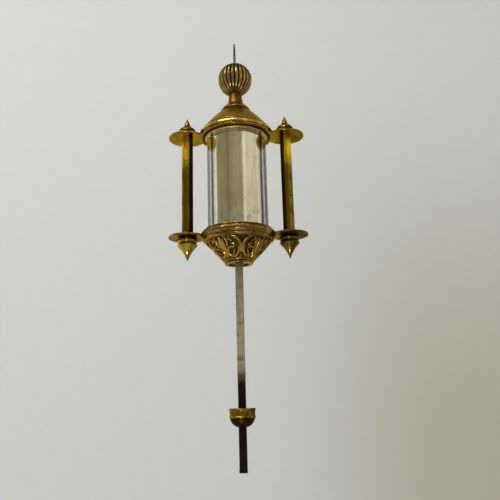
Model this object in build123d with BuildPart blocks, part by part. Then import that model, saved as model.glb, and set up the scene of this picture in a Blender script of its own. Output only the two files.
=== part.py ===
from build123d import *
import math
import os

# Clock pendulum with a lantern-shaped bob.  Millimetres, +Z up.  The origin is the shoulder of the
# suspension stud, on the rod's axis, where the clock's hook seats.  The bob is at the top of its travel.
os.makedirs("parts", exist_ok=True)

clearance = 0.05               # play between pieces that slip over each other

# rod: a flat steel strip with a wire stud at the top and a thread cut on its lower edges
strip_width = 3.6
strip_thick = 1.2
strip_top = -3.0
strip_bottom = -191.9
tang_width = 1.8
stud_radius = 0.6
tang_root = -8.0               # the stud's flat tang is soldered into a slot in the strip's end
stud_straight = 8.0            # full-width length above the shoulder
stud_tip_radius = 0.3
stud_tip_height = 11.7
thread_top = -152.0
thread_bottom = -190.4
thread_pitch = 0.8
thread_depth = 0.15

# core tube that the bob's pieces are clamped on, and that the rod slides in
core_bore = 2.05
core_radius = 2.4
core_top = -9.0
core_bottom = -101.4
core_nut_radius = 3.9
core_nut_thick = 0.9

# crown: fluted ball, neck, shoulder and canopy
ball_radius = 8.3
ball_centre = -8.6
ball_mouth = 2.15
flute_count = 24
flute_radius = 0.62
flute_half_span = 62.0         # degrees of latitude that a flute reaches above and below the equator
neck_top = -16.3
neck_bottom = -21.9
shoulder_radius = 7.1
shoulder_bottom = -26.2
canopy_wall = 0.6
canopy_edge_radius = 15.9
canopy_edge = -36.0
skirt_radius = 14.85
rim_radius = 17.6              # half-round moulding that stands on the plate, round the skirt
rim_top = -36.5

# plates, the ears on them, and the pillars between
plate_thick = 0.8
plate_radius = 17.4
top_plate_face = -38.8         # upper face of the top plate
gallery_floor = -88.05         # upper face of the bottom gallery's floor
pillar_x = 23.6
pillar_radius = 2.65
pillar_bore = 1.3
ear_radius = 8.8
tie_radius = 1.0
tie_reach = 5.0                # how far a tie rod enters each finial
upper_spike = 6.3              # the finials' spikes: the upper pair are shorter
lower_spike = 7.2

# glass jar with the plated tube and its weight inside
glass_radius = 14.15
glass_wall = 1.05
gasket_thick = 0.6
bezel_radius = 15.0
bezel_height = 0.8
shell_radius = 12.5
shell_wall = 0.5
shell_drift = 0.4              # the plated tube stands a little off centre in the jar
shell_top_gap = 0.05
cap_thick = 0.8
slug_radius = 11.4
slug_top = -44.0

# bottom gallery, embossed cup and foot
gallery_top = -85.7
gallery_edge_radius = 15.9
gallery_radius = 17.65
gallery_bottom = -89.9
gallery_foot_radius = 16.7
gallery_recess_radius = 13.7
cup_bead_radius = 16.6
cup_top_radius = 15.3
cup_bottom_radius = 7.0
cup_bottom = -99.9
cup_wall = 0.7
foot_floor = -100.5
foot_bore = 4.3
foot_radius = 6.5
foot_bottom = -101.8

# rating nut and the slotted washer on it
washer_top = -165.4
washer_thick = 0.8
slot_play = 0.07               # round the strip, in the washer's slot
nut_play = 0.05
nut_radius = 5.85
nut_waist_radius = 5.55
nut_bore = 1.96
nut_dome_top = -169.35
nut_bottom = -173.2

top_plate_underside = top_plate_face - plate_thick
gallery_underside = gallery_floor - plate_thick
core_hole = core_radius + clearance
tie_hole = tie_radius + clearance
strip_half = strip_width / 2


def finish(piece, label):
    """Name a finished piece and write it."""
    piece.part.label = label
    export_step(piece.part, f"parts/{label}.step")


def turned(outline, centre_x=0.0):
    """Piece turned about a vertical axis from a closed outline of (radius, height) points."""
    with BuildPart() as piece:
        with BuildSketch(Plane.XZ):
            with BuildLine():
                Polyline(*[(centre_x + radius, height) for radius, height in outline], close=True)
            make_face()
        revolve(axis=Axis((centre_x, 0, 0), (0, 0, 1)))
    return piece


def ring(outer, inner, low, high, centre_x=0.0):
    """Plain tube, ring or washer between two heights."""
    with BuildPart() as piece:
        with BuildSketch(Plane.XY.offset(low)):
            with Locations((centre_x, 0)):
                Circle(outer)
                Circle(inner, mode=Mode.SUBTRACT)
        extrude(amount=high - low)
    return piece


# ------------------------------------------------------------------ rod
def thread_edge(side, first_crest):
    """Points down one edge of the strip, notched at the thread's pitch."""
    points = []
    for turn in range(int((thread_top - thread_bottom) / thread_pitch)):
        crest = first_crest - turn * thread_pitch
        points.append((side * strip_half, crest))
        points.append((side * (strip_half - thread_depth), crest - thread_pitch / 2))
    return points


# the notches on the two edges are half a pitch apart, as one helix crosses them
strip_outline = [(-strip_half, strip_top)]
strip_outline += thread_edge(-1, thread_top)
strip_outline += [(-strip_half, thread_bottom), (-strip_half, strip_bottom)]
strip_outline += [(strip_half, strip_bottom), (strip_half, thread_bottom - thread_pitch / 2)]
strip_outline += reversed(thread_edge(1, thread_top - thread_pitch / 2))
strip_outline += [(strip_half, strip_top)]

with BuildPart() as pendulum_rod:
    with BuildSketch(Plane.XZ):
        with BuildLine():
            Polyline(*strip_outline, close=True)
        make_face()
        with Locations((0, (strip_top + tang_root) / 2)):
            Rectangle(tang_width, strip_top - tang_root, mode=Mode.SUBTRACT)
    extrude(amount=strip_thick / 2, both=True)
finish(pendulum_rod, "pendulum_rod")

suspension_stud = turned([
    (0, 0), (stud_radius, 0), (stud_radius, stud_straight), (stud_tip_radius, stud_tip_height),
    (0, stud_tip_height)])
with suspension_stud:
    with Locations((0, 0, tang_root / 2)):
        Box(tang_width, strip_thick, -tang_root)
finish(suspension_stud, "suspension_stud")

# ------------------------------------------------------------------ crown
ball_top = ball_centre + math.sqrt(ball_radius**2 - ball_mouth**2)
ball_foot_radius = math.sqrt(ball_radius**2 - (ball_centre - neck_top)**2)

# one flute: a round cutter swept along a meridian, short of the poles
with BuildPart() as flute:
    with BuildLine(Plane.XZ) as meridian:
        CenterArc((0, ball_centre), ball_radius + 0.15, -flute_half_span, 2 * flute_half_span)
    with BuildSketch(Plane(origin=meridian.line @ 0, z_dir=meridian.line % 0)):
        Circle(flute_radius)
    sweep()

with BuildPart() as ribbed_ball:
    with BuildSketch(Plane.XZ):
        with BuildLine():
            ThreePointArc((ball_foot_radius, neck_top), (ball_radius, ball_centre), (ball_mouth, ball_top))
            Polyline((ball_mouth, ball_top), (ball_mouth, core_top), (core_hole, core_top),
                     (core_hole, neck_top), (ball_foot_radius, neck_top))
        make_face()
    revolve(axis=Axis.Z)
    with PolarLocations(0, flute_count):
        add(flute.part, mode=Mode.SUBTRACT)
finish(ribbed_ball, "ribbed_ball")

with BuildPart() as ball_neck:
    with BuildSketch(Plane.XZ):
        with BuildLine():
            ThreePointArc((3.8, neck_bottom), (3.35, -19.2), (3.0, neck_top))
            Polyline((3.0, neck_top), (core_hole, neck_top), (core_hole, neck_bottom), (3.8, neck_bottom))
        make_face()
    revolve(axis=Axis.Z)
finish(ball_neck, "ball_neck")

with BuildPart() as shoulder_cap:
    with BuildSketch(Plane.XZ):
        with BuildLine():
            ThreePointArc((4.0, neck_bottom), (5.65, -23.4), (shoulder_radius, -25.4))
            Polyline((shoulder_radius, -25.4), (shoulder_radius - 0.2, shoulder_bottom),
                     (core_hole, shoulder_bottom), (core_hole, neck_bottom), (4.0, neck_bottom))
        make_face()
    revolve(axis=Axis.Z)
finish(shoulder_cap, "shoulder_cap")

# canopy: a spun shell that flares outwards, with a skirt standing on the top plate
canopy_start = (7.4, shoulder_bottom - 0.4)
canopy_flare = (11.9, -30.8)
canopy_end = (canopy_edge_radius, canopy_edge)
lining_start = (6.9, shoulder_bottom - canopy_wall)
lining_flare = (11.2, -31.2)
lining_end = (skirt_radius - canopy_wall, canopy_edge)
with BuildPart() as canopy:
    with BuildSketch(Plane.XZ):
        with BuildLine():
            Polyline((core_hole, shoulder_bottom), (7.0, shoulder_bottom), canopy_start)
            ThreePointArc(canopy_start, canopy_flare, canopy_end)
            Polyline(canopy_end, (skirt_radius, canopy_edge - 0.4), (skirt_radius, top_plate_face),
                     (skirt_radius - canopy_wall, top_plate_face), lining_end)
            ThreePointArc(lining_end, lining_flare, lining_start)
            Polyline(lining_start, (core_hole, shoulder_bottom - canopy_wall), (core_hole, shoulder_bottom))
        make_face()
    revolve(axis=Axis.Z)
finish(canopy, "canopy")

rim_seat = skirt_radius + clearance
with BuildPart() as canopy_rim:
    with BuildSketch(Plane.XZ):
        with BuildLine():
            Polyline((16.3, rim_top), (rim_seat, rim_top), (rim_seat, top_plate_face),
                     (plate_radius + 0.05, top_plate_face))
            ThreePointArc((plate_radius + 0.05, top_plate_face), (rim_radius - 0.15, -37.4), (16.3, rim_top))
        make_face()
    revolve(axis=Axis.Z)
finish(canopy_rim, "canopy_rim")

# ------------------------------------------------------------------ plates and pillars
both_sides = ((-pillar_x, 0), (pillar_x, 0))


def eared_outline(radius):
    """Round plate with an ear at each side, pierced for the core tube and the tie rods."""
    Circle(radius)
    with Locations(*both_sides):
        Circle(ear_radius)
    Circle(core_hole, mode=Mode.SUBTRACT)
    with Locations(*both_sides):
        Circle(tie_hole, mode=Mode.SUBTRACT)


with BuildPart() as top_plate:
    with BuildSketch(Plane.XY.offset(top_plate_underside)):
        eared_outline(plate_radius)
    extrude(amount=plate_thick)
finish(top_plate, "top_plate")

# bottom gallery: one casting of the floor, its two ears and the milled wall round the jar
jar_seat_radius = glass_radius + 0.15
bead_start = (gallery_edge_radius - 0.3, gallery_top)
bead_end = (gallery_edge_radius - 0.2, gallery_top - 0.8)
band_end = (gallery_foot_radius, gallery_bottom)
with BuildPart() as bottom_gallery:
    with BuildSketch(Plane.XY.offset(gallery_underside)):
        eared_outline(gallery_foot_radius)
    extrude(amount=plate_thick)
    with BuildSketch(Plane.XZ):
        with BuildLine():
            Polyline((jar_seat_radius, gallery_floor), (jar_seat_radius, gallery_top), bead_start)
            ThreePointArc(bead_start, (gallery_edge_radius, gallery_top - 0.35), bead_end)
            ThreePointArc(bead_end, (gallery_radius, -88.2), band_end)
            Polyline(band_end, (gallery_recess_radius, gallery_bottom),
                     (gallery_recess_radius, gallery_floor), (jar_seat_radius, gallery_floor))
        make_face()
    revolve(axis=Axis.Z)
finish(bottom_gallery, "bottom_gallery")


def finial(centre_x, base, way, spike_height):
    """Turned finial on an ear, pointing up (way 1) or down (way -1), bored for its tie rod."""
    def at(radius, height):
        return (centre_x + radius, base + way * height)

    bore_end = tie_reach + 0.3
    flange = (4.5, 3.6)
    mid_spike = (2.0, flange[1] + 0.47 * spike_height)
    tip = (0.2, flange[1] + spike_height)
    with BuildPart() as piece:
        with BuildSketch(Plane.XZ):
            with BuildLine():
                Polyline(at(0, bore_end), at(tie_hole, bore_end), at(tie_hole, 0), at(3.4, 0), at(3.6, 0.4))
                ThreePointArc(at(3.6, 0.4), at(4.4, 1.25), at(3.9, 2.1))
                Polyline(at(3.9, 2.1), at(4.4, 3.1), at(*flange))
                ThreePointArc(at(*flange), at(*mid_spike), at(*tip))
                Polyline(at(*tip), at(0, tip[1]), at(0, bore_end))
            make_face()
        revolve(axis=Axis((centre_x, 0, 0), (0, 0, 1)))
    return piece


for side, sign in (("left", -1), ("right", 1)):
    post_x = sign * pillar_x
    finish(ring(pillar_radius, pillar_bore, gallery_floor, top_plate_underside, post_x), f"{side}_pillar")
    tie_low = gallery_underside - tie_reach
    tie_high = top_plate_face + tie_reach
    tie_rod = turned([(0, tie_low), (tie_radius, tie_low), (tie_radius, tie_high), (0, tie_high)], post_x)
    finish(tie_rod, f"{side}_tie_rod")
    finish(finial(post_x, top_plate_face, 1, upper_spike), f"upper_{side}_finial")
    finish(finial(post_x, gallery_underside, -1, lower_spike), f"lower_{side}_finial")

# ------------------------------------------------------------------ jar
glass_top = top_plate_underside - gasket_thick
glass_bottom = gallery_floor + gasket_thick
glass_bore = glass_radius - glass_wall
finish(ring(glass_radius, glass_bore, glass_bottom, glass_top), "glass_jar")
finish(ring(glass_radius, glass_bore, glass_top, top_plate_underside), "upper_gasket")
finish(ring(glass_radius, glass_bore, gallery_floor, glass_bottom), "lower_gasket")

bezel_bottom = top_plate_underside - bezel_height
with BuildPart() as jar_bezel:
    with BuildSketch(Plane.XZ):
        with BuildLine():
            Polyline((bezel_radius - 0.3, bezel_bottom), (glass_radius + 0.1, bezel_bottom),
                     (glass_radius + 0.1, top_plate_underside), (bezel_radius - 0.3, top_plate_underside))
            ThreePointArc((bezel_radius - 0.3, top_plate_underside),
                          (bezel_radius, (top_plate_underside + bezel_bottom) / 2),
                          (bezel_radius - 0.3, bezel_bottom))
        make_face()
    revolve(axis=Axis.Z)
finish(jar_bezel, "jar_bezel")

shell_top = top_plate_underside - shell_top_gap
shell_bore = shell_radius - shell_wall
finish(ring(shell_radius, shell_bore, gallery_floor, shell_top, shell_drift), "mirror_tube")

# the caps close the plated tube; their holes are wide enough to let it stand off centre
for label, low in (("upper_tube_cap", shell_top - cap_thick), ("lower_tube_cap", gallery_floor)):
    finish(ring(shell_bore, core_hole + shell_drift + 0.2, low, low + cap_thick, shell_drift), label)

finish(ring(slug_radius, core_hole, gallery_floor + cap_thick, slug_top), "weight_slug")

# ------------------------------------------------------------------ cup and foot
cup_groove = gallery_bottom - 1.4
with BuildPart() as embossed_cup:
    with BuildSketch(Plane.XZ):
        with BuildLine():
            Polyline((gallery_recess_radius, gallery_bottom), (cup_bead_radius - 0.3, gallery_bottom))
            ThreePointArc((cup_bead_radius - 0.3, gallery_bottom), (cup_bead_radius, gallery_bottom - 0.45),
                          (cup_bead_radius - 0.4, gallery_bottom - 0.9))
            Polyline((cup_bead_radius - 0.4, gallery_bottom - 0.9), (cup_top_radius, cup_groove),
                     (cup_bottom_radius, cup_bottom), (core_hole, cup_bottom),
                     (core_hole, cup_bottom + cup_wall), (cup_bottom_radius - 0.4, cup_bottom + cup_wall),
                     (gallery_recess_radius, cup_groove), (gallery_recess_radius, gallery_bottom))
        make_face()
    revolve(axis=Axis.Z)
finish(embossed_cup, "embossed_cup")

with BuildPart() as cup_foot:
    with BuildSketch(Plane.XZ):
        with BuildLine():
            Polyline((core_hole, cup_bottom), (cup_bottom_radius - 0.2, cup_bottom))
            ThreePointArc((cup_bottom_radius - 0.2, cup_bottom), (cup_bottom_radius + 0.15, -100.3),
                          (cup_bottom_radius - 0.2, -100.7))
            Polyline((cup_bottom_radius - 0.2, -100.7), (6.0, -100.9), (6.0, -101.1),
                     (foot_radius, -101.25), (foot_radius, foot_bottom + 0.2),
                     (foot_radius - 0.2, foot_bottom), (foot_bore, foot_bottom),
                     (foot_bore, foot_floor), (core_hole, foot_floor), (core_hole, cup_bottom))
        make_face()
    revolve(axis=Axis.Z)
finish(cup_foot, "cup_foot")

# ------------------------------------------------------------------ core tube, its nuts and the spring
finish(ring(core_radius, core_bore, core_bottom, core_top), "core_tube")


def hexagon_nut(radius, low, high):
    """Flat nut on the core tube, its radius measured to the corners."""
    with BuildPart() as piece:
        with BuildSketch(Plane.XY.offset(low)):
            RegularPolygon(radius, 6)
            Circle(core_hole, mode=Mode.SUBTRACT)
        extrude(amount=high - low)
    return piece


finish(hexagon_nut(core_nut_radius, foot_floor - core_nut_thick, foot_floor), "lower_core_nut")
finish(hexagon_nut(5.2, top_plate_face, top_plate_face + 1.8), "upper_core_nut")

# bowed leaf in the core tube that drags on the strip's back face, so that the bob stays where it is put
spring_thick = 0.2
spring_width = 1.6
spring_top = -59.0
spring_bottom = -81.0
spring_middle = (spring_top + spring_bottom) / 2
spring_foot = 1.76             # where its ends bear on the tube's wall
spring_bow = strip_thick / 2 + clearance
with BuildPart() as friction_spring:
    with BuildSketch(Plane.YZ):
        with BuildLine():
            ThreePointArc((spring_foot, spring_bottom), (spring_bow + spring_thick, spring_middle),
                          (spring_foot, spring_top))
            Line((spring_foot, spring_top), (spring_foot - spring_thick, spring_top))
            ThreePointArc((spring_foot - spring_thick, spring_top), (spring_bow, spring_middle),
                          (spring_foot - spring_thick, spring_bottom))
            Line((spring_foot - spring_thick, spring_bottom), (spring_foot, spring_bottom))
        make_face()
    extrude(amount=spring_width / 2, both=True)
finish(friction_spring, "friction_spring")

# ------------------------------------------------------------------ rating nut
with BuildPart() as nut_washer:
    with BuildSketch(Plane.XY.offset(washer_top - washer_thick)):
        Circle(nut_radius)
        Rectangle(strip_width + 2 * slot_play, strip_thick + 2 * slot_play, mode=Mode.SUBTRACT)
    extrude(amount=washer_thick)
finish(nut_washer, "nut_washer")

nut_top = washer_top - washer_thick - nut_play
dome_radius = nut_waist_radius - 0.05
with BuildPart() as rating_nut:
    with BuildSketch(Plane.XZ):
        with BuildLine():
            Polyline((nut_bore, nut_top), (nut_waist_radius, nut_top), (nut_waist_radius, -168.6),
                     (nut_radius - 0.1, -168.8), (nut_radius - 0.1, nut_dome_top), (dome_radius, nut_dome_top))
            ThreePointArc((dome_radius, nut_dome_top), (4.4, -171.8), (2.3, nut_bottom))
            Polyline((2.3, nut_bottom), (nut_bore, nut_bottom), (nut_bore, nut_top))
        make_face()
    revolve(axis=Axis.Z)
finish(rating_nut, "rating_nut")
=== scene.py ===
import math

import bpy
import numpy as np
from mathutils import Matrix, Vector


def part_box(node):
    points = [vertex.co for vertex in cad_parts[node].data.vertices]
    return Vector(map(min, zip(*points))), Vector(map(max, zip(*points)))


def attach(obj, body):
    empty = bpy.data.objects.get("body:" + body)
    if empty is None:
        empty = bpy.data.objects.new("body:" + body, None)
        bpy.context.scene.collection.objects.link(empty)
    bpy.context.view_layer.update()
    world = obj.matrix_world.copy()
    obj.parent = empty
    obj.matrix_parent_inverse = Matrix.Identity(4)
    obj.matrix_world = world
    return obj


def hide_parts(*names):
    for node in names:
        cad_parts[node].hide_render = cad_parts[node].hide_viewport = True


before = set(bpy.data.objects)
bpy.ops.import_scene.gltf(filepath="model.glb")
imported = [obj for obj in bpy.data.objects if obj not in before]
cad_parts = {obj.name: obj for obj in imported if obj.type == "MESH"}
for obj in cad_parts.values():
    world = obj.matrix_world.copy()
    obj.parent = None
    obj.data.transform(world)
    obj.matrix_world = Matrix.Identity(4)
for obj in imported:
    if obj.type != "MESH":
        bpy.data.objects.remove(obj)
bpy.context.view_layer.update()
scene = bpy.context.scene
MM = 0.001


# ------------------------------------------------------------------ outlines, in millimetres
def span(node):
    """Lowest and highest corner of a CAD node, in millimetres."""
    low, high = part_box(node)
    return np.array(low) / MM, np.array(high) / MM


def arc(a, b, c, count=24):
    """Points along the circular arc from a through b to c."""
    a, b, c = (complex(*p) for p in (a, b, c))
    w = (c - a) / (b - a)
    centre = (b - a) * (w - abs(w) ** 2) / (2j * w.imag) + a
    radius = abs(a - centre)
    start = math.atan2((a - centre).imag, (a - centre).real)
    middle = (math.atan2((b - centre).imag, (b - centre).real) - start) % (2 * math.pi)
    end = (math.atan2((c - centre).imag, (c - centre).real) - start) % (2 * math.pi)
    if middle > end:
        end -= 2 * math.pi
    angles = start + np.linspace(0, end, count + 1)
    return [(centre.real + radius * math.cos(t), centre.imag + radius * math.sin(t)) for t in angles]


def resampled(points, step):
    """Closed outline with points every step along it."""
    p = np.array(list(points) + [points[0]], float)
    lengths = np.hypot(*np.diff(p, axis=0).T)
    p = p[np.r_[True, lengths > 1e-9]]
    along = np.r_[0, np.cumsum(np.hypot(*np.diff(p, axis=0).T))]
    at = np.linspace(0, along[-1], max(int(along[-1] / step), 12), endpoint=False)
    return np.c_[np.interp(at, along, p[:, 0]), np.interp(at, along, p[:, 1])]


def rounded(points, radius, step=0.05):
    """Closed outline with its corners worn round to about this radius."""
    p = resampled(points, step)
    sigma = max(radius / step * 0.55, 0.5)
    reach = int(3 * sigma) + 1
    kernel = np.exp(-0.5 * (np.arange(-reach, reach + 1) / sigma) ** 2)
    kernel /= kernel.sum()
    out = np.zeros_like(p)
    for k, weight in zip(range(-reach, reach + 1), kernel):
        out += weight * np.roll(p, k, axis=0)
    return out


def thinned(p, tolerance):
    """Closed outline without the points that lie on straight runs."""
    keep = np.zeros(len(p), bool)
    far = int(np.argmax(np.hypot(*(p - p[0]).T)))
    keep[[0, far]] = True
    loop = np.vstack([p, p[:1]])
    stack = [(0, far), (far, len(p))]
    while stack:
        i, j = stack.pop()
        if j - i < 2:
            continue
        chord = loop[j] - loop[i]
        between = loop[i + 1:j] - loop[i]
        off = np.abs(between[:, 0] * chord[1] - between[:, 1] * chord[0]) / (np.hypot(*chord) + 1e-12)
        k = int(np.argmax(off))
        if off[k] > tolerance:
            keep[i + 1 + k] = True
            stack += [(i, i + 1 + k), (i + 1 + k, j)]
    return p[keep]


def outward(p):
    """Unit normals of a closed outline, pointing out of it."""
    tangent = np.roll(p, -1, axis=0) - np.roll(p, 1, axis=0)
    normal = np.c_[tangent[:, 1], -tangent[:, 0]]
    normal /= np.hypot(*normal.T)[:, None] + 1e-12
    area = np.sum(p[:, 0] * np.roll(p[:, 1], -1) - np.roll(p[:, 0], -1) * p[:, 1])
    return normal * np.sign(area)


# ------------------------------------------------------------------ meshes
def made(name, verts, faces, material, body, replaced, flat=False):
    """Mesh object from millimetre vertices, riding on a body in place of its CAD nodes."""
    mesh = bpy.data.meshes.new(name)
    mesh.from_pydata((np.asarray(verts) * MM).tolist(), [], faces)
    mesh.materials.append(material)
    mesh.validate()
    obj = bpy.data.objects.new(name, mesh)
    scene.collection.objects.link(obj)
    mesh.shade_smooth()
    if flat:
        even = obj.modifiers.new("even_normals", "WEIGHTED_NORMAL")
        even.weight = 80
    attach(obj, body)
    if replaced:
        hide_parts(*([replaced] if isinstance(replaced, str) else replaced))
    return obj


def turned(name, outline, material, body, replaced, centre_x=0.0, turns=160, edge=0.12,
           relief=None, step=0.1):
    """Piece turned about a vertical axis from a closed outline of (radius, height) points.
    relief(angle, radius, height) raises its surface along the outline's normal."""
    p = rounded(outline, edge, min(step, 0.05) if relief is None else step)
    if relief is None:
        p = thinned(p, 0.003)
    n = outward(p)
    angle = np.arange(turns) * 2 * math.pi / turns
    raised = np.zeros((len(p), turns)) if relief is None else relief(angle[None, :], p[:, :1], p[:, 1:])
    radius = np.maximum(p[:, :1] + raised * n[:, :1], 0.0)
    height = p[:, 1:] + raised * n[:, 1:]
    verts = np.stack([centre_x + radius * np.cos(angle), radius * np.sin(angle),
                      height + 0 * angle], -1).reshape(-1, 3)
    i, j = np.meshgrid(np.arange(len(p)), np.arange(turns), indexing="ij")
    i2, j2 = (i + 1) % len(p), (j + 1) % turns
    faces = np.stack([i * turns + j, i * turns + j2, i2 * turns + j2, i2 * turns + j], -1).reshape(-1, 4)
    area = np.sum(p[:, 0] * np.roll(p[:, 1], -1) - np.roll(p[:, 0], -1) * p[:, 1])
    if area < 0:
        faces = faces[:, ::-1]
    return made(name, verts, faces.tolist(), material, body, replaced, flat=relief is None)


def plate(name, outline, low, high, material, body, replaced, edge=0.15, upright=False):
    """Flat piece with worn edges: its outline lies in the XY plane, or in XZ when it is upright."""
    p = np.array(outline, float)
    n = outward(p)
    area = np.sum(p[:, 0] * np.roll(p[:, 1], -1) - np.roll(p[:, 0], -1) * p[:, 1])
    if area < 0:
        p, n = p[::-1], n[::-1]
    levels = []
    for t in np.linspace(0, math.pi / 2, 5):
        levels.append((edge * (1 - math.sin(t)), low + edge * (1 - math.cos(t))))
    for t in np.linspace(math.pi / 2, 0, 5):
        levels.append((edge * (1 - math.sin(t)), high - edge * (1 - math.cos(t))))
    rows = []
    for inset, level in levels:
        q = p - n * inset
        rows.append(np.c_[q[:, 0], -level * np.ones(len(q)), q[:, 1]] if upright
                    else np.c_[q[:, 0], q[:, 1], level * np.ones(len(q))])
    count = len(p)
    faces = [list(range(count))[::-1]]
    for r in range(len(rows) - 1):
        for k in range(count):
            k2 = (k + 1) % count
            faces.append([r * count + k, r * count + k2, (r + 1) * count + k2, (r + 1) * count + k])
    faces.append([(len(rows) - 1) * count + k for k in range(count)])
    return made(name, np.vstack(rows), faces, material, body, replaced, flat=True)


# ------------------------------------------------------------------ materials
def linear(rgb):
    """Linear colour from 8-bit display values."""
    return tuple(((c / 255 + 0.055) / 1.055) ** 2.4 if c > 10 else c / 255 / 12.92 for c in rgb) + (1.0,)


class Graph:
    """Short-hand for building one material's nodes."""

    def __init__(self, name):
        self.material = bpy.data.materials.new(name)
        self.material.use_nodes = True
        self.tree = self.material.node_tree
        self.tree.nodes.clear()
        self.out = self.add("ShaderNodeOutputMaterial")
        self.shader = self.add("ShaderNodeBsdfPrincipled")
        self.link(self.shader.outputs[0], self.out.inputs[0])
        self.place = self.add("ShaderNodeTexCoord").outputs["Object"]

    def add(self, kind, **settings):
        node = self.tree.nodes.new(kind)
        for key, value in settings.items():
            setattr(node, key, value)
        return node

    def link(self, a, b):
        self.tree.links.new(a, b)

    def feed(self, socket, value):
        if isinstance(value, (int, float, tuple)):
            socket.default_value = value
        else:
            self.link(value, socket)

    def math(self, operation, a, b=0.0, c=0.0, clamp=False):
        node = self.add("ShaderNodeMath", operation=operation, use_clamp=clamp)
        for socket, value in zip(node.inputs, (a, b, c)):
            self.feed(socket, value)
        return node.outputs[0]

    def noise(self, scale, detail=4.0, rough=0.55, stretch=(1, 1, 1), warp=0.0):
        mapping = self.add("ShaderNodeMapping")
        mapping.inputs["Scale"].default_value = stretch
        self.link(self.place, mapping.inputs["Vector"])
        node = self.add("ShaderNodeTexNoise")
        node.inputs["Scale"].default_value = scale
        node.inputs["Detail"].default_value = detail
        node.inputs["Roughness"].default_value = rough
        node.inputs["Distortion"].default_value = warp
        self.link(mapping.outputs[0], node.inputs["Vector"])
        return node.outputs[0]

    def band(self, value, low, high, to_low=0.0, to_high=1.0):
        """value's range low..high spread over to_low..to_high, smoothly and held at the ends."""
        node = self.add("ShaderNodeMapRange", interpolation_type="SMOOTHSTEP")
        for socket, v in zip(node.inputs, (value, low, high, to_low, to_high)):
            self.feed(socket, v)
        return node.outputs[0]

    def mix(self, factor, a, b):
        node = self.add("ShaderNodeMix", data_type="RGBA")
        for socket, value in zip((node.inputs[0], node.inputs[6], node.inputs[7]), (factor, a, b)):
            self.feed(socket, value)
        return node.outputs[2]

    def axes(self):
        node = self.add("ShaderNodeSeparateXYZ")
        self.link(self.place, node.inputs[0])
        return node.outputs

    def bump(self, *layers):
        """Bump from (height, strength, distance in metres) layers, one on another."""
        normal = None
        for height, strength, distance in layers:
            node = self.add("ShaderNodeBump")
            node.inputs["Strength"].default_value = strength
            node.inputs["Distance"].default_value = distance
            self.link(height, node.inputs["Height"])
            if normal is not None:
                self.link(normal, node.inputs["Normal"])
            normal = node.outputs[0]
        self.link(normal, self.shader.inputs["Normal"])

    def set(self, **sockets):
        for name, value in sockets.items():
            self.feed(self.shader.inputs[name.replace("_", " ")], value)
        return self.material


# colour of the painted shade that darkens brass in joints, grooves, recesses and shaded sides
PAINTED_SHADE_COLOUR = (30, 21, 8)


def brass(name, bright, worn, tarnish, rough=(0.2, 0.42), stain=0.5, brushed=(1, 1, 1),
          painted_shade=None, painted_light_band=None, offset=0.0):
    """Old brass: bright metal, a worn tone, and brown tarnish in patches. The shade mask paints shade where
    it is
    given: darker, duller metal in joints, grooves, recesses and shaded sides. The height band is (height
    where it starts, height where it ends, colour, change of roughness) and paints a highlight or shade by
    height, and offset shifts the patterns so that no two brasses wear alike."""
    g = Graph(name)
    broad = g.noise(90 + offset, 5, 0.6, warp=0.6)
    fine = g.noise(900 + offset, 6, 0.65)
    streaks = g.noise(1400 + offset, 4, 0.6, stretch=brushed)
    tone = g.band(g.math("ADD", g.math("MULTIPLY", broad, 0.7), g.math("MULTIPLY", fine, 0.3)), 0.38, 0.62)
    colour = g.mix(tone, linear(bright), linear(worn))
    patches = g.math("MULTIPLY", g.band(broad, 0.5, 0.66), g.band(fine, 0.42, 0.58))
    specks = g.band(g.noise(2300 + offset, 3, 0.5), 0.64, 0.72)
    mask = g.math("MAXIMUM", g.math("MULTIPLY", patches, stain), g.math("MULTIPLY", specks, 0.55 * stain))
    colour = g.mix(mask, colour, linear(tarnish))
    gloss = g.band(tone, 0, 1, rough[0], rough[1])
    gloss = g.math("ADD", gloss, g.math("MULTIPLY", mask, 0.22), clamp=True)
    # painted highlight or painted shade by height: a colour mixed in between two heights
    if painted_light_band is not None:
        wander = g.math("MULTIPLY_ADD", fine, 0.012, g.math("SUBTRACT", g.axes()[2], 0.006))
        painted_light_share = g.math("MULTIPLY", g.band(wander, painted_light_band[0], painted_light_band[1]), 0.85)
        colour = g.mix(painted_light_share, colour, linear(painted_light_band[2]))
        gloss = g.math("MULTIPLY_ADD", painted_light_share, painted_light_band[3], gloss)
    # painted shade: the mask darkens the colour and dulls the metal
    if painted_shade is not None:
        dark = painted_shade(g)
        colour = g.mix(dark, colour, linear(PAINTED_SHADE_COLOUR))
        gloss = g.band(dark, 0, 1, gloss, 0.62)
    g.bump((streaks, 0.12, 0.00004), (fine, 0.16, 0.00005))
    return g.set(Base_Color=colour, Metallic=1.0, Roughness=gloss, Specular_Tint=(0.84, 0.68, 0.42, 1.0))


def groove_painted_shade(count):
    """Mask of painted shade in the grooves between ribs that run like meridians."""
    def mask(g):
        x, y, _ = g.axes()
        turn = g.math("MULTIPLY", g.math("ARCTAN2", y, x), count / (2 * math.pi))
        edge = g.math("ABSOLUTE", g.math("SUBTRACT", g.math("FRACT", turn), 0.5))
        # noise that wobbles the edge of the painted shade
        edge_wobble = g.band(g.noise(700, 4), 0.3, 0.7, -0.05, 0.05)
        return g.band(g.math("ADD", edge, edge_wobble), 0.17, 0.4, 0.0, 0.95)
    return mask


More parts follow.
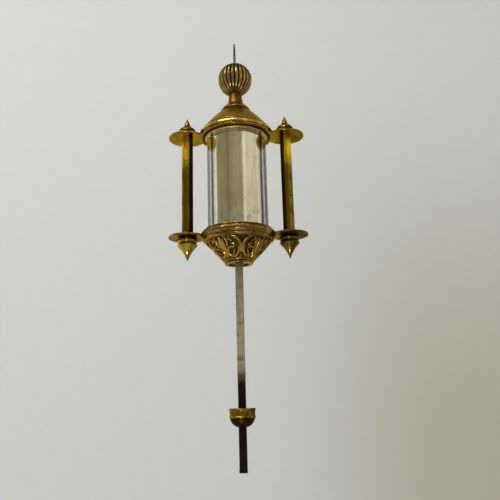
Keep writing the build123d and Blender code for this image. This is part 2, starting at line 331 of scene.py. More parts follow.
def joint_painted_shade(*heights, ring=0.0, ear=None):
    """Mask of painted shade: dark lines in narrow joints at these heights in millimetres, in a ring inside
    this
    radius in metres, and on the right ear: ear is (distance in metres where it starts, how dark it gets)."""
    def mask(g):
        x, y, z = g.axes()
        wander = g.math("MULTIPLY_ADD", g.noise(500, 4), 0.0002, g.math("SUBTRACT", z, 0.0001))
        shaded = 0.0
        for height in heights:
            away = g.math("ABSOLUTE", g.math("SUBTRACT", wander, height * MM))
            shaded = g.math("MAXIMUM", shaded, g.band(away, 0.0001, 0.0004, 0.95, 0.0))
        # painted shadow: a dark ring just inside the given radius
        if ring:
            radius = g.math("SQRT", g.math("ADD", g.math("MULTIPLY", x, x), g.math("MULTIPLY", y, y)))
            inside = g.band(radius, ring - 0.0016, ring - 0.0012)
            shaded = g.math("MULTIPLY", inside, g.band(radius, ring - 0.0004, ring + 0.0002, 0.85, 0.0))
        # painted shade: the ear on the right side darker, that side lying away from the light
        if ear:
            shaded = g.math("MAXIMUM", shaded, g.band(x, ear[0], ear[0] + 0.003, 0.0, ear[1]))
        return shaded
    return mask


def inner_side_painted_shade(middle):
    """Mask of painted shade on the pillar sides that face the jar."""
    def mask(g):
        aside = g.math("ABSOLUTE", g.axes()[0])
        wander = g.math("MULTIPLY_ADD", g.noise(300, 4), 0.0006, aside)
        return g.band(wander, middle - 0.0014, middle - 0.0007, 0.92, 0.0)
    return mask


def recess_painted_shade(top, low):
    """Mask of painted shade on the low ground of a relief on a cone, and inside its bore. The cone runs
    between two points of (radius, height) in millimetres."""
    radius_top, height_top, radius_low, height_low = (value * MM for value in (*top, *low))

    def mask(g):
        x, y, z = g.axes()
        radius = g.math("SQRT", g.math("ADD", g.math("MULTIPLY", x, x), g.math("MULTIPLY", y, y)))
        slope = (radius_top - radius_low) / (height_top - height_low)
        cone = g.math("MULTIPLY_ADD", g.math("SUBTRACT", z, height_top), slope, radius_top)
        proud = g.math("SUBTRACT", radius, cone)
        inside = g.band(z, height_low, height_low + 0.0004, 0.0, 1.0)
        below = g.band(z, height_top - 0.0002, height_top + 0.0002, 1.0, 0.0)
        ground = g.band(proud, -0.0007, 0.0002, 0.85, 0.0)
        ground = g.math("MULTIPLY", g.math("MULTIPLY", ground, inside), below)
        return g.math("MAXIMUM", ground, g.band(radius, 0.0044, 0.0047, 0.95, 0.0))
    return mask


# the ball's ribs, the cup's heights, and the cone that carries its relief as (radius, height) points
RIBS = 24
CUP_TOP, CUP_FOOT = -89.9, -99.9
CONE_TOP, CONE_LOW = (15.3, -91.3), (7.0, CUP_FOOT)

# the ball: painted shade in its rib grooves, and painted shade on its top, which is darker and duller
ball_brass = brass("dark_ball_brass", (184, 156, 98), (132, 110, 64), (58, 47, 27), (0.16, 0.32), 0.5,
                   painted_shade=groove_painted_shade(RIBS), painted_light_band=(-0.011, -0.004, (58, 50, 28), 0.3), offset=7)
# painted shade in the joints above and below the canopy
spun_brass = brass("warm_spun_brass", (168, 138, 68), (131, 105, 48), (78, 59, 30), (0.24, 0.38), 0.5,
                   brushed=(0.15, 0.15, 3), painted_shade=joint_painted_shade(-26.1, -36.3))
# painted shade in the joints above and below the rim
rim_brass = brass("bright_rim_brass", (228, 192, 104), (178, 146, 72), (92, 70, 34), (0.12, 0.22), 0.5,
                  brushed=(0.15, 0.15, 3), painted_shade=joint_painted_shade(-36.5, -38.8), offset=61)
# painted shade in the joint under the ball
neck_brass = brass("dull_neck_brass", (106, 80, 30), (84, 62, 22), (54, 40, 16), (0.36, 0.5), 0.5,
                   painted_shade=joint_painted_shade(-16.2), offset=3)
# painted shadow in a ring under the plate, and painted shade on the right ear
plate_brass = brass("polished_plate_brass", (176, 144, 56), (132, 108, 38), (74, 58, 24), (0.03, 0.14), 0.5,
                    painted_shade=joint_painted_shade(ring=0.0164, ear=(0.018, 0.35)), offset=31)
finial_brass = brass("olive_finial_brass", (116, 97, 38), (84, 69, 27), (48, 38, 17), (0.16, 0.3), 0.7,
                     offset=71)
bezel_brass = brass("bright_bezel_brass", (236, 200, 104), (214, 174, 80), (120, 90, 40), (0.3, 0.45), 0.3,
                    offset=19)
# painted shade on the sides facing the jar, and a painted highlight: brighter yellow near the tops
pillar_brass = brass("olive_pillar_brass", (126, 106, 34), (92, 76, 24), (52, 42, 16), (0.18, 0.36), 0.6,
                     brushed=(3, 3, 0.12), painted_shade=inner_side_painted_shade(0.024),
                     painted_light_band=(-0.058, -0.044, (246, 208, 62), 0.08), offset=57)
# painted shade in the joint under the bead, and on the right lower ear
band_brass = brass("tarnished_band_brass", (158, 126, 68), (102, 76, 38), (82, 52, 35), (0.16, 0.36), 1.0,
                   painted_shade=joint_painted_shade(-86.6, ear=(0.017, 0.6)), offset=83)
# painted shade on the relief's low ground and inside the bore
cup_brass = brass("embossed_cup_brass", (168, 136, 68), (98, 75, 32), (64, 44, 20), (0.1, 0.24), 0.4,
                  painted_shade=recess_painted_shade(CONE_TOP, CONE_LOW), offset=11)
nut_brass = brass("knurled_nut_brass", (166, 140, 44), (90, 74, 24), (36, 29, 12), (0.22, 0.42), 0.9,
                  offset=41)
dome_brass = brass("blackened_dome_brass", (48, 40, 18), (34, 28, 13), (18, 14, 7), (0.22, 0.38), 0.5,
                   offset=23)
inner_brass = brass("inner_brass", (150, 118, 52), (112, 84, 36), (60, 42, 20), (0.35, 0.55), 0.4, offset=5)


SEAM = math.radians(-90 - 18)                   # direction of the mirror tube's lapped seam


def plated_nickel():
    """Bright nickel plate gone faintly yellow, with a dark lap line, and haze and rust towards its foot."""
    g = Graph("aged_nickel_plate")
    x, y, z = g.axes()
    cloud = g.noise(60, 4, 0.5)
    fine = g.noise(1100, 5, 0.6)
    colour = g.mix(g.band(cloud, 0.35, 0.65), linear((230, 225, 215)), linear((214, 207, 190)))
    foot = g.band(z, -0.087, -0.074, 1.0, 0.0)
    drawn = g.band(g.noise(1300, 4, 0.6, stretch=(1, 1, 0.04)), 0.45, 0.7, 0.0, 0.4)
    colour = g.mix(drawn, colour, linear((186, 178, 156)))
    low_down = g.band(z, -0.086, -0.066, 0.55, 0.05)
    haze = g.math("MULTIPLY", g.band(g.noise(170, 5, 0.6), 0.4, 0.62), low_down)
    colour = g.mix(haze, colour, linear((198, 202, 206)))
    rusty = g.math("MULTIPLY_ADD", foot, 0.4, 0.24)
    rust = g.math("MULTIPLY", g.band(g.noise(380, 6, 0.7), 0.52, 0.64), rusty)
    colour = g.mix(rust, colour, linear((142, 106, 78)))
    around = g.math("ABSOLUTE", g.math("SUBTRACT", g.math("ARCTAN2", y, x), SEAM))
    lap = g.band(around, 0.004, 0.012, 0.75, 0.0)
    colour = g.mix(lap, colour, linear((96, 90, 70)))
    dull = g.math("MAXIMUM", rust, haze)
    gloss = g.math("MULTIPLY_ADD", dull, 0.25, g.band(fine, 0.3, 0.7, 0.04, 0.1))
    g.bump((g.noise(240, 3), 0.05, 0.0001), (fine, 0.05, 0.00003))
    return g.set(Base_Color=colour, Metallic=1.0, Roughness=gloss)


def clear_glass():
    """Old clear glass with a faint haze of dust."""
    g = Graph("old_clear_glass")
    dust = g.band(g.noise(800, 5, 0.6), 0.45, 0.75, 0.0, 0.06)
    g.bump((g.noise(45, 2), 0.04, 0.0002))
    return g.set(Base_Color=(0.97, 0.98, 0.96, 1.0), Roughness=dust, IOR=1.5, Transmission_Weight=1.0)


def strip_steel():
    """Drawn steel strip: grey above, and near black towards its threaded lower end."""
    g = Graph("drawn_steel_strip")
    z = g.axes()[2]
    drawn = g.noise(1100, 5, 0.65, stretch=(4, 4, 0.06))
    blotch = g.noise(260, 5, 0.6)
    colour = g.mix(g.band(drawn, 0.35, 0.65), linear((206, 205, 188)), linear((158, 155, 138)))
    colour = g.mix(g.math("MULTIPLY", g.band(blotch, 0.5, 0.7), 0.6), colour, linear((92, 88, 74)))
    wander = g.math("MULTIPLY_ADD", blotch, 0.012, z)
    colour = g.mix(g.band(wander, -0.122, -0.1, 0.0, 0.75), colour, linear((146, 146, 134)))
    darker_end = g.band(wander, -0.149, -0.139, 1.0, 0.0)
    colour = g.mix(darker_end, colour, linear((27, 25, 19)))
    gloss = g.math("ADD", g.band(drawn, 0.3, 0.7, 0.3, 0.45), g.math("MULTIPLY", darker_end, 0.06))
    g.bump((drawn, 0.2, 0.00006), (g.noise(1800, 3), 0.1, 0.00003))
    return g.set(Base_Color=colour, Metallic=0.9, Roughness=gloss)


def plain_metal(name, light, dark, rough=(0.3, 0.5), scale=700):
    """Dull metal between two tones."""
    g = Graph(name)
    grain = g.noise(scale, 5, 0.6)
    colour = g.mix(g.band(grain, 0.35, 0.65), linear(light), linear(dark))
    g.bump((grain, 0.15, 0.00005))
    return g.set(Base_Color=colour, Metallic=1.0, Roughness=g.band(grain, 0.3, 0.7, rough[0], rough[1]))


def felt_cloth():
    """Short brown felt."""
    g = Graph("felt_gasket")
    fibre = g.noise(3200, 6, 0.7, warp=1.5)
    g.bump((fibre, 0.6, 0.0001))
    return g.set(Base_Color=g.mix(fibre, linear((104, 82, 38)), linear((70, 54, 26))), Roughness=0.95)


nickel = plated_nickel()
glass = clear_glass()
rod_steel = strip_steel()
stud_steel = plain_metal("stud_steel", (92, 89, 80), (54, 51, 44), (0.3, 0.48))
hidden_steel = plain_metal("hidden_steel", (120, 120, 116), (86, 86, 80))
iron = plain_metal("cast_iron_weight", (76, 72, 68), (52, 49, 46), (0.5, 0.7), 400)
felt = felt_cloth()

# ------------------------------------------------------------------ crown
ball_low, ball_high = span("ribbed_ball")
ball_middle = -8.6                              # height of its centre
ball_radius = ball_high[0]
neck_join = ball_low[2]
mouth = 2.15                                    # radius of the hole at its top
ball_top = ball_middle + math.sqrt(ball_radius ** 2 - mouth ** 2)
foot_radius = math.sqrt(ball_radius ** 2 - (ball_middle - neck_join) ** 2)
bore = 2.45                                     # clears the core tube


def ribs(angle, radius, height):
    """Convex ribs that taper towards the poles, with sharp grooves between them."""
    reach = np.hypot(radius, height - ball_middle)
    skin = np.clip((reach - ball_radius + 0.35) / 0.25, 0, 1)
    across = np.mod(angle * RIBS / (2 * math.pi), 1.0) * 2 - 1
    round_top = 1 - np.sqrt(1 - 0.985 * across ** 2)
    return -0.95 * (radius / ball_radius) ** 0.65 * round_top * skin


turned("fluted_ball", arc((foot_radius, neck_join), (ball_radius, ball_middle), (mouth, ball_top), 90)
       + [(mouth, -9.0), (bore, -9.0), (bore, neck_join)],
       ball_brass, "bob", "ribbed_ball", turns=RIBS * 16, edge=0.1, relief=ribs, step=0.14)

neck_low = span("ball_neck")[0][2]
turned("waisted_neck", arc((3.8, neck_low), (3.35, -19.2), (3.0, neck_join), 30)
       + [(2.9, neck_join + 0.2), (bore, neck_join + 0.2), (bore, neck_low)],
       neck_brass, "bob", "ball_neck", turns=128, edge=0.14)

shoulder_low = span("shoulder_cap")[0][2]
turned("stepped_shoulder", arc((3.9, neck_low), (5.5, -23.3), (6.9, -24.95), 30)
       + [(6.95, -25.05)] + arc((6.95, -25.05), (7.2, -25.35), (6.95, -25.65), 8)
       + [(6.65, -25.85), (6.9, shoulder_low), (bore, shoulder_low), (bore, neck_low)],
       spun_brass, "bob", "shoulder_cap", turns=192, edge=0.12)

skirt = 14.85                                   # radius of the canopy's upright foot
plate_top = span("top_plate")[1][2]
canopy_line = (arc((7.4, -26.6), (11.9, -30.8), (15.5, -35.3), 48)
               + arc((15.5, -35.3), (15.95, -35.8), (15.5, -36.1), 8)
               + [(15.1, -36.25), (skirt, -36.4), (skirt, plate_top)])
turned("flared_canopy", [(bore, shoulder_low), (7.0, shoulder_low)] + canopy_line
       + [(skirt - 0.6, plate_top)] + arc((skirt - 0.6, -36.0), (11.2, -31.2), (6.9, -26.8), 30)
       + [(bore, shoulder_low - 0.6)],
       spun_brass, "bob", "canopy", turns=256, edge=0.1)

rim_low, rim_high = span("canopy_rim")
rim_seat = skirt + 0.05
turned("half_round_rim", [(rim_seat, rim_low[2]), (17.45, rim_low[2])]
       + arc((17.45, rim_low[2]), (17.5, -37.4), (16.3, rim_high[2]), 24) + [(rim_seat, rim_high[2])],
       rim_brass, "bob", "canopy_rim", turns=256, edge=0.08)

# ------------------------------------------------------------------ plates, pillars and finials
pillar_x = (span("right_pillar")[0][0] + span("right_pillar")[1][0]) / 2


def eared(radius, ear, corner=0.9):
    """Outline of a round plate with an ear at each side, the inside corners softened."""
    cut_x = (pillar_x ** 2 + radius ** 2 - ear ** 2) / (2 * pillar_x)
    cut_y = math.sqrt(radius ** 2 - cut_x ** 2)
    disc = math.atan2(cut_y, cut_x)
    lobe = math.atan2(cut_y, cut_x - pillar_x)
    points = [(pillar_x + ear * math.cos(t), ear * math.sin(t)) for t in np.linspace(-lobe, lobe, 120)]
    points += [(radius * math.cos(t), radius * math.sin(t))
               for t in np.linspace(disc, math.pi - disc, 160)[1:-1]]
    points += [(-pillar_x - ear * math.cos(t), ear * math.sin(t)) for t in np.linspace(lobe, -lobe, 120)]
    points += [(radius * math.cos(t), radius * math.sin(t))
               for t in np.linspace(math.pi + disc, 2 * math.pi - disc, 160)[1:-1]]
    return thinned(rounded(points, corner, 0.12), 0.006)


plate_low = span("top_plate")[0][2]
plate("eared_top_plate", eared(17.4, 8.8), plate_low, plate_top, plate_brass, "bob", "top_plate",
      edge=0.22)

gallery_low, gallery_high = span("bottom_gallery")
floor_top = span("left_pillar")[0][2]
floor_low = floor_top - 0.8
plate("eared_gallery_floor", eared(16.7, 8.8), floor_low, floor_top, band_brass, "bob", "bottom_gallery",
      edge=0.22)


def beads(angle, radius, height):
    """A fine milled bead round the band's upper edge."""
    row = np.exp(-((height - (gallery_high[2] - 1.25)) / 0.28) ** 2) * (radius > 15.3)
    return 0.16 * row * (np.abs(np.sin(angle * 55)) - 0.4)


wall_in, floor_edge = 14.3, 13.7                # inside radii of the wall and of the ring under the floor
band_line = (arc((15.6, -85.7), (15.9, -86.05), (15.7, -86.5), 8) + [(15.75, -86.7)]
             + arc((15.95, -86.8), (17.65, -88.2), (16.9, -89.6), 30) + [(16.7, CUP_TOP)])
turned("beaded_gallery_band", [(wall_in, floor_top), (wall_in, gallery_high[2])] + band_line
       + [(floor_edge, gallery_low[2]), (floor_edge, floor_top)],
       band_brass, "bob", "bottom_gallery", turns=880, edge=0.12, relief=beads, step=0.14)


FLANGE = 3.6                                    # height of a finial's widest part above its ear


def finial(name, sign, base, way, node):
    """Bead, flange and pointed spike on an ear, standing up (way 1) or hanging (way -1)."""
    def at(radius, height):
        return (radius, base + way * height)
    low, high = span(node)
    if way > 0:
        tip = high[2] - base
        wide = 4.15
        spine = [at(4.0, 3.7), at(3.6, 4.3)] + arc(at(3.0, 4.8), at(1.9, 5.6), at(1.4, 6.9), 16)
    else:
        tip = base - low[2]
        wide = 4.55
        waist = FLANGE + 0.47 * (tip - FLANGE)
        spine = arc(at(4.6, FLANGE), at(1.9, waist), at(0.3, tip - 0.5), 36)
    outline = ([at(1.05, 0), at(3.6, 0), at(3.8, 0.2)]
               + arc(at(wide - 0.65, 0.4), at(wide + 0.1, 1.25), at(wide - 0.35, 2.1), 16)
               + [at(wide - 0.6, 2.3), at(wide - 0.45, 2.55), at(wide, 3.2)] + spine
               + [at(0.2, tip - 0.12), at(0.04, tip), at(0.0, tip), at(0.0, 5.3), at(1.05, 5.3)])
    # painted shade: the lower right finial takes the darker olive brass, the lower left one the brighter
    # plate brass
    metal = finial_brass if way > 0 or sign > 0 else plate_brass
    return turned(name, outline, metal, "bob", node, sign * pillar_x,
                  turns=112, edge=0.06)


for side, sign in (("left", -1), ("right", 1)):
    turned(side + "_pillar_tube",
           [(2.65, floor_top), (2.65, plate_low), (1.3, plate_low), (1.3, floor_top)],
           pillar_brass, "bob", side + "_pillar", sign * pillar_x, turns=112, edge=0.15)
    for end, base, way in (("upper_", plate_top, 1), ("lower_", floor_low, -1)):
        node = end + side + "_finial"
        finial(node + "_spike", sign, base, way, node)

# ------------------------------------------------------------------ jar
glass_low, glass_high = span("glass_jar")
turned("clear_jar",
       [(14.15, glass_low[2]), (14.15, glass_high[2]), (12.65, glass_high[2]), (12.65, glass_low[2])],
       glass, "bob", "glass_jar", turns=256, edge=0.12)
bezel_low = span("jar_bezel")[0][2]
turned("jar_bezel_ring", [(14.25, bezel_low), (14.25, plate_low), (14.7, plate_low)]
       + arc((14.7, plate_low), (15.0, plate_low - 0.4), (14.7, bezel_low), 12),
       bezel_brass, "bob", "jar_bezel", turns=224, edge=0.06)

tube_low, tube_top = span("mirror_tube")[0][2], plate_low - 0.05
tube_radius = 12.5


def lapped_seam(angle, radius, height):
    """The sheet's lapped seam down the front of the tube, and slight dents in it."""
    off = np.angle(np.exp(1j * (angle - SEAM))) * tube_radius
    fold = -0.05 * np.exp(-(off / 0.09) ** 2)
    waves = 0.012 * np.sin(3 * angle + 0.21 * height) + 0.008 * np.sin(7 * angle - 0.13 * height)
    return (fold + waves) * (radius > tube_radius - 0.2)


turned("plated_mirror_tube",
       [(tube_radius, tube_low), (tube_radius, tube_top), (12.0, tube_top), (12.0, tube_low)],
       nickel, "bob", "mirror_tube", turns=540, edge=0.1, relief=lapped_seam, step=0.6)

# ------------------------------------------------------------------ embossed cup
SLANT = math.hypot(CONE_TOP[0] - CONE_LOW[0], CONE_TOP[1] - CONE_LOW[1])
AXIS = math.radians(-90 + 8)                    # middle of the scroll pair at the front
REPEATS = 4                                     # of the relief, round the cup
RELIEF, SINK = 1.0, 0.6                         # its height, and how far its ground is sunk

# strokes on half a repeat: (degrees from its middle, share of the way down, half width in mm)
arm = [(19.5, 0.04, 0.45), (13.5, 0.1, 0.7), (7.5, 0.23, 0.8), (3, 0.41, 0.72), (1.3, 0.58, 0.55),
       (1.2, 0.76, 0.35)]
hook = [(19.5, 0.04, 0.4), (25.5, 0.09, 0.5), (26, 0.2, 0.5), (20.5, 0.25, 0.45)]
curl = [(7, 0.48, 0.3), (6, 0.63, 0.55), (8.5, 0.79, 0.68), (16, 0.91, 0.78), (28, 0.93, 0.78),
        (36.5, 0.83, 0.72), (35.5, 0.66, 0.66), (28, 0.53, 0.62), (20, 0.5, 0.75)]
leaves = [
    [(45, 0.95, 0.5), (45, 0.62, 0.8), (45, 0.3, 0.95), (45, 0.05, 0.3)],
    [(43.2, 0.74, 0.4), (41, 0.48, 0.8), (37.5, 0.14, 0.3)],
    [(34, 0.5, 0.35), (31.5, 0.32, 0.7), (33.5, 0.06, 0.3)],
    [(15, 0.47, 0.3), (18.5, 0.38, 0.55), (26, 0.38, 0.25)],
    [(24, 0.84, 0.3), (20, 0.76, 0.5), (16.5, 0.62, 0.25)],
    [(0, 0.99, 0.9), (0, 0.91, 0.6), (0, 0.83, 0.15)]]
# each stroke with its height and the depth of its middle vein
strokes = [(arm, 1.0, 0.2), (hook, 0.85, 0.0), (curl, 1.0, 0.0)] + [(leaf, 0.9, 0.35) for leaf in leaves]


def smooth_path(points, count=14):
    """Smooth curve through stroke points, by Catmull-Rom."""
    p = np.array(points, float)
    p = np.vstack([2 * p[0] - p[1], p, 2 * p[-1] - p[-2]])
    t = np.linspace(0, 1, count, endpoint=False)[:, None]
    runs = [0.5 * (2 * b + (c - a) * t + (2 * a - 5 * b + 4 * c - d) * t ** 2
                   + (3 * b - a - 3 * c + d) * t ** 3) for a, b, c, d in zip(p, p[1:], p[2:], p[3:])]
    return np.vstack(runs + [p[-2:-1]])


def embossing(angle, radius, height):
    """Height of the scrolls and leaves on the cup's cone."""
    down = (CONE_TOP[1] - height) / (CONE_TOP[1] - CONE_LOW[1])
    turn = np.abs(np.degrees(np.angle(np.exp(REPEATS * 1j * (angle - AXIS)))) / REPEATS)
    cone_radius = CONE_TOP[0] + (CONE_LOW[0] - CONE_TOP[0]) * down
    on_cone = (np.abs(radius - cone_radius) < 0.35) & (down > -0.02) & (down < 1.02)
    raised = np.zeros(np.broadcast(angle, radius).shape)
    rows = np.flatnonzero(on_cone[:, 0])
    d, r = down[rows], cone_radius[rows]

    def squared(degrees, share):
        """Squared distance in millimetres from this point of every repeat."""
        return (np.radians(turn - degrees) * r) ** 2 + ((d - share) * SLANT) ** 2

    field = np.zeros((len(rows), angle.shape[1]))
    for stroke, top, vein in strokes:
        near = np.full(field.shape, 9.0)
        for degrees, share, width in smooth_path(stroke):
            for mirror in (1, -1):
                near = np.minimum(near, squared(mirror * degrees, share) / (1.15 * width) ** 2)
        body = np.sqrt(np.clip(1 - near, 0, 1)) * (1 - vein * np.exp(-near / 0.05))
        field = np.maximum(field, top * body)
    eye = 1 - squared(20, 0.52) / 0.95 ** 2
    field = np.maximum(field, 1.15 * np.sqrt(np.clip(eye, 0, 1)))
    for _ in range(3):
        field = (np.roll(field, 1, 1) + 2 * field + np.roll(field, -1, 1)) / 4
        field[1:-1] = (field[:-2] + 2 * field[1:-1] + field[2:]) / 4
    edge = np.clip((d + 0.01) / 0.04, 0, 1) * np.clip((1.0 - d) / 0.03, 0, 1)
    raised[rows] = (RELIEF * field - SINK) * edge
    return raised


turned("embossed_scroll_cup",
       [(floor_edge, CUP_TOP), (16.3, CUP_TOP)] + arc((16.3, CUP_TOP), (16.6, -90.35), (16.2, -90.8), 12)
       + [(15.45, -91.05), CONE_TOP, CONE_LOW, (bore, CUP_FOOT), (bore, CUP_FOOT + 0.7),
          (6.6, CUP_FOOT + 0.7), (floor_edge, CONE_TOP[1])],
       cup_brass, "bob", "embossed_cup", turns=1080, edge=0.12, relief=embossing, step=0.1)

turned("turned_foot",
       [(bore, CUP_FOOT), (6.8, CUP_FOOT)] + arc((6.8, CUP_FOOT), (7.15, -100.3), (6.8, -100.7), 12)
       + [(6.0, -100.9), (6.0, -101.1), (6.5, -101.25), (6.5, -101.6), (6.3, -101.8), (4.3, -101.8),
          (4.3, -100.5), (bore, -100.5)],
       cup_brass, "bob", "cup_foot", turns=160, edge=0.08)

# ------------------------------------------------------------------ rod and stud
rod_low, rod_high = span("pendulum_rod")
half, corner = 1.8, 0.25                        # half the strip's width, and the cut at its bottom corners
thread_top, thread_turns, pitch, notch = -152.0, 48, 0.8, 0.15


def strip_edge(side, first):
    """One edge of the strip from its top down, notched by the thread from this height on."""
    points = [(side * half, rod_high[2])]
    for k in range(thread_turns):
        top = first - k * pitch
        points += [(side * half, top), (side * (half - notch), top - pitch / 2)]
    return points + [(side * half, first - thread_turns * pitch), (side * half, rod_low[2] + corner),
                     (side * (half - corner), rod_low[2])]


plate("threaded_strip", strip_edge(-1, thread_top) + strip_edge(1, thread_top - pitch / 2)[::-1], -0.6, 0.6,
      rod_steel, "rod", "pendulum_rod", edge=0.1, upright=True)

stud_high = span("suspension_stud")[1][2]


def wire_thread(angle, radius, height):
    """Fine thread on the stud."""
    turn = np.mod(height / 0.45 - angle / (2 * math.pi), 1.0)
    here = (height > 0.6) & (height < 8.3) & (radius > 0.45)
    return -0.07 * np.abs(2 * turn - 1) * here


turned("suspension_wire", [(0, -8), (0.6, -8), (0.6, 8.0), (0.36, 11.3), (0.2, stud_high), (0, stud_high)],
       stud_steel, "rod", "suspension_stud", turns=48, edge=0.06,
       relief=wire_thread, step=0.06)

# ------------------------------------------------------------------ rating nut and washer
washer_low, washer_high = span("nut_washer")
nut_low, nut_high = span("rating_nut")


def milled(low, high, count, depth):
    """Vertical milling between two heights on the outside."""
    def relief(angle, radius, height):
        here = np.clip((height - low) / 0.15, 0, 1) * np.clip((high - height) / 0.15, 0, 1)
        here = here * (radius > 5.2)
        return -depth * here * (1 - np.abs(np.sin(angle * count / 2)) ** 0.7)
    return relief


slot_x, slot_y = 1.87, 0.67
ring_count = 180
ring_angle = np.linspace(0, 2 * math.pi, ring_count, endpoint=False)


def slotted_washer():
    """Disc with a slot for the strip: rings of points from the slot's edge to the rim, top and bottom."""
    reach = np.minimum(slot_x / np.maximum(np.abs(np.cos(ring_angle)), 1e-9),
                       slot_y / np.maximum(np.abs(np.sin(ring_angle)), 1e-9))
    rim = 5.85 - 0.09 * (1 - np.abs(np.sin(ring_angle * 40)) ** 0.7)
    low, high = washer_low[2], washer_high[2]
    rows = [(reach, low), (reach, high), (rim - 0.18, high), (rim - 0.05, high - 0.06), (rim, high - 0.2),
            (rim, low + 0.2), (rim - 0.05, low + 0.06), (rim - 0.18, low)]
    verts = np.vstack([np.c_[r * np.cos(ring_angle), r * np.sin(ring_angle), np.full(ring_count, z)]
                       for r, z in rows])
    faces = []
    for i in range(len(rows)):
        this, following = i * ring_count, (i + 1) % len(rows) * ring_count
        for j in range(ring_count):
            j2 = (j + 1) % ring_count
            faces.append([this + j, following + j, following + j2, this + j2])
    return made("slotted_milled_washer", verts, faces, nut_brass, "washer", "nut_washer",
                flat=True)


slotted_washer()
nut_bore, dome_edge = 1.96, -169.35             # its inside radius, and the height where its dome begins
turned("milled_nut_collar",
       [(nut_bore, nut_high[2]), (5.55, nut_high[2]), (5.55, -168.55), (5.75, -168.8), (5.75, -169.2),
        (5.6, dome_edge), (nut_bore, dome_edge)],
       nut_brass, "nut", "rating_nut", turns=720, edge=0.07,
       relief=milled(-168.5, nut_high[2] - 0.1, 80, 0.1), step=0.1)
turned("domed_nut",
       [(nut_bore, dome_edge), (5.5, dome_edge)]
       + arc((5.5, dome_edge), (4.4, -171.8), (2.3, nut_low[2]), 30) + [(nut_bore, nut_low[2])],
       dome_brass, "nut", "rating_nut", turns=144, edge=0.1)

# ------------------------------------------------------------------ CAD pieces that stay
for names, material in ((("left_tie_rod", "right_tie_rod", "friction_spring"), hidden_steel),
                        (("core_tube", "upper_core_nut", "lower_core_nut"), inner_brass),
                        (("upper_tube_cap", "lower_tube_cap"), nickel),
                        (("weight_slug",), iron), (("upper_gasket", "lower_gasket"), felt)):
    for node in names:
        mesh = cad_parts[node].data
        mesh.materials.clear()
        mesh.materials.append(material)

# ------------------------------------------------------------------ room, light and camera
def backdrop():
    """Pale floor that curves up into a pale wall, with painted shade that makes it a little greyer at the
    lower right.
    """
    bend, floor, wall, wide = 0.25, -0.62, 0.5, 3.0
    line = [(-3.0, floor)] + [(wall - bend + bend * math.sin(t), floor + bend * (1 - math.cos(t)))
                              for t in np.linspace(0, math.pi / 2, 24)] + [(wall, 3.0)]
    verts = [(x, y, z) for y, z in line for x in (-wide, wide)]
    faces = [(2 * k, 2 * k + 1, 2 * k + 3, 2 * k + 2) for k in range(len(line) - 1)]
    mesh = bpy.data.meshes.new("backdrop")
    mesh.from_pydata(verts, [], faces)
    mesh.shade_smooth()
    g = Graph("pale_backdrop")
    x, _, z = g.axes()
    # painted shade: greyer towards the lower right
    shade = g.math("MULTIPLY", g.band(x, -0.02, 0.26), g.band(z, -0.24, 0.32, 1.0, 0.0))
    grain = g.band(g.noise(60, 4), 0.3, 0.7, 0.0, 0.05)
    shade_and_grain = g.math("ADD", shade, grain, clamp=True)
    colour = g.mix(shade_and_grain, linear((209, 214, 222)), linear((184, 184, 178)))
    mesh.materials.append(g.set(Base_Color=colour, Roughness=0.85, Specular_IOR_Level=0.2))
    obj = bpy.data.objects.new("backdrop", mesh)
    scene.collection.objects.link(obj)


def painted_shade_cards():
    """Two dark cards that only light turned once inside the jar's wall meets. They paint shade: dark sheets
    that draw its dark edges.
    """
    g = Graph("painted_shade_card")
    g.set(Base_Color=(0.004, 0.004, 0.004, 1.0), Roughness=1.0, Specular_IOR_Level=0.0)
    turned_once = g.math("LESS_THAN", g.add("ShaderNodeLightPath").outputs["Transmission Depth"], 2.5)
    seen = g.add("ShaderNodeMixShader")
    g.link(turned_once, seen.inputs[0])
    g.link(g.add("ShaderNodeBsdfTransparent").outputs[0], seen.inputs[1])
    g.link(g.shader.outputs[0], seen.inputs[2])
    g.link(seen.outputs[0], g.out.inputs[0])
    back, low, high = 0.49, -0.05, 0.35
    for name, left, right in (("left_card", -0.7, -0.03), ("right_card", 0.03, 0.7)):
        mesh = bpy.data.meshes.new(name)
        mesh.from_pydata([(left, back, low), (right, back, low), (right, back, high), (left, back, high)],
                         [], [(0, 1, 2, 3)])
        mesh.materials.append(g.material)
        obj = bpy.data.objects.new(name, mesh)
        scene.collection.objects.link(obj)
        obj.visible_camera = obj.visible_diffuse = obj.visible_glossy = obj.visible_shadow = False


backdrop()
painted_shade_cards()


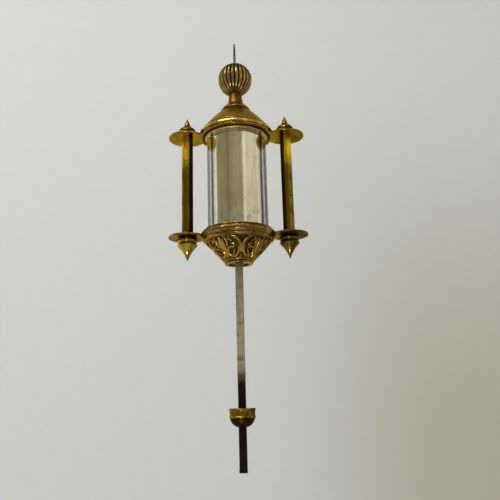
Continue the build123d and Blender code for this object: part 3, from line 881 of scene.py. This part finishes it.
def surroundings():
    """The room that the metal reflects, by direction: dim in front, with a bright window to the right. The
    camera itself sees one pale colour."""
    world = bpy.data.worlds.new("studio")
    scene.world = world
    world.use_nodes = True
    tree = world.node_tree
    tree.nodes.clear()
    link = tree.links.new

    def node(kind, **settings):
        made_node = tree.nodes.new(kind)
        for key, value in settings.items():
            setattr(made_node, key, value)
        return made_node

    def calc(operation, a, b=0.0, c=0.0):
        n = node("ShaderNodeMath", operation=operation)
        for socket, value in zip(n.inputs, (a, b, c)):
            if isinstance(value, float):
                socket.default_value = value
            else:
                link(value, socket)
        return n.outputs[0]

    split = node("ShaderNodeSeparateXYZ")
    link(node("ShaderNodeTexCoord").outputs["Generated"], split.inputs[0])
    x, y, z = split.outputs
    turn = calc("ARCTAN2", x, calc("MULTIPLY", y, -1.0))
    turn = calc("MULTIPLY_ADD", turn, 1 / (2 * math.pi), 0.5)
    ramp = node("ShaderNodeValToRGB")
    link(turn, ramp.inputs[0])
    # (degrees round from the front, colour)
    stops = [(-180, (110, 108, 102)), (-145, (120, 116, 104)), (-125, (200, 194, 172)),
             (-91, (200, 194, 172)), (-87, (150, 142, 114)), (-58, (146, 137, 108)), (-38, (134, 126, 98)),
             (-20, (148, 140, 112)), (-5, (160, 151, 122)), (23, (160, 151, 122)), (25.5, (222, 214, 188)),
             (34, (236, 230, 208)), (37, (236, 230, 208)), (39, (212, 204, 178)), (60, (218, 211, 186)),
             (90, (206, 198, 172)), (125, (200, 193, 168)), (145, (120, 116, 104)), (180, (110, 108, 102))]
    elements = ramp.color_ramp.elements
    while len(elements) > 1:
        elements.remove(elements[-1])
    elements[0].position = 0.0
    elements[0].color = linear(stops[0][1])
    for degrees, rgb in stops[1:]:
        elements.new(degrees / 360 + 0.5).color = linear(rgb)
    lift = node("ShaderNodeMapRange", interpolation_type="SMOOTHSTEP")
    for socket, value in zip(lift.inputs, (0.0, -0.95, 0.5, 0.75, 1.1)):
        socket.default_value = value
    link(z, lift.inputs[0])
    shade = node("ShaderNodeBackground")
    link(ramp.outputs[0], shade.inputs[0])
    link(lift.outputs[0], shade.inputs[1])
    plain = node("ShaderNodeBackground")
    plain.inputs[0].default_value = linear((196, 195, 190))
    seen = node("ShaderNodeMixShader")
    link(node("ShaderNodeLightPath").outputs["Is Camera Ray"], seen.inputs[0])
    link(shade.outputs[0], seen.inputs[1])
    link(plain.outputs[0], seen.inputs[2])
    link(seen.outputs[0], node("ShaderNodeOutputWorld").inputs[0])


surroundings()


def soft_light(name, place, size, power, tint=(1.0, 0.98, 0.95)):
    """Rectangular area light aimed at the middle of the object."""
    data = bpy.data.lights.new(name, "AREA")
    data.shape = "RECTANGLE"
    data.size, data.size_y = size
    data.energy = power
    data.color = tint
    obj = bpy.data.objects.new(name, data)
    scene.collection.objects.link(obj)
    obj.location = place
    aim = Vector((0, 0, -0.07)) - Vector(place)
    obj.rotation_euler = aim.to_track_quat("-Z", "Y").to_euler()
    obj.visible_camera = False
    return obj


soft_light("key", (-0.5, -0.55, 0.85), (0.6, 0.45), 7.0)
soft_light("spark", (-0.12, -0.5, 0.95), (0.12, 0.12), 3.0)
soft_light("low_front", (-0.08, -0.42, -0.56), (0.12, 0.06), 1.1)
soft_light("left_panel", (-0.53, 0.27, -0.05), (0.56, 1.2), 1.0)
soft_light("right_panel", (0.53, 0.27, -0.05), (0.56, 1.2), 0.7)

scene.view_settings.view_transform = "Standard"
scene.view_settings.look = "None"

camera_data = bpy.data.cameras.new("camera")
camera_data.lens = 42.48
camera_data.sensor_width = 36.0
camera_data.clip_start = 0.01
camera = bpy.data.objects.new("camera", camera_data)
scene.collection.objects.link(camera)
scene.camera = camera
pitch_up, roll = math.radians(13.5), math.radians(1.545)
right = Vector((1, 0, 0))
up = Vector((0, -math.sin(pitch_up), math.cos(pitch_up)))
ahead = Vector((0, math.cos(pitch_up), math.sin(pitch_up)))
tilted_right = math.cos(roll) * right - math.sin(roll) * up
tilted_up = math.sin(roll) * right + math.cos(roll) * up
turn = Matrix((tilted_right, tilted_up, -ahead)).transposed().to_4x4()
camera.matrix_world = Matrix.Translation((0.00518, -0.2642, -0.1585)) @ turn
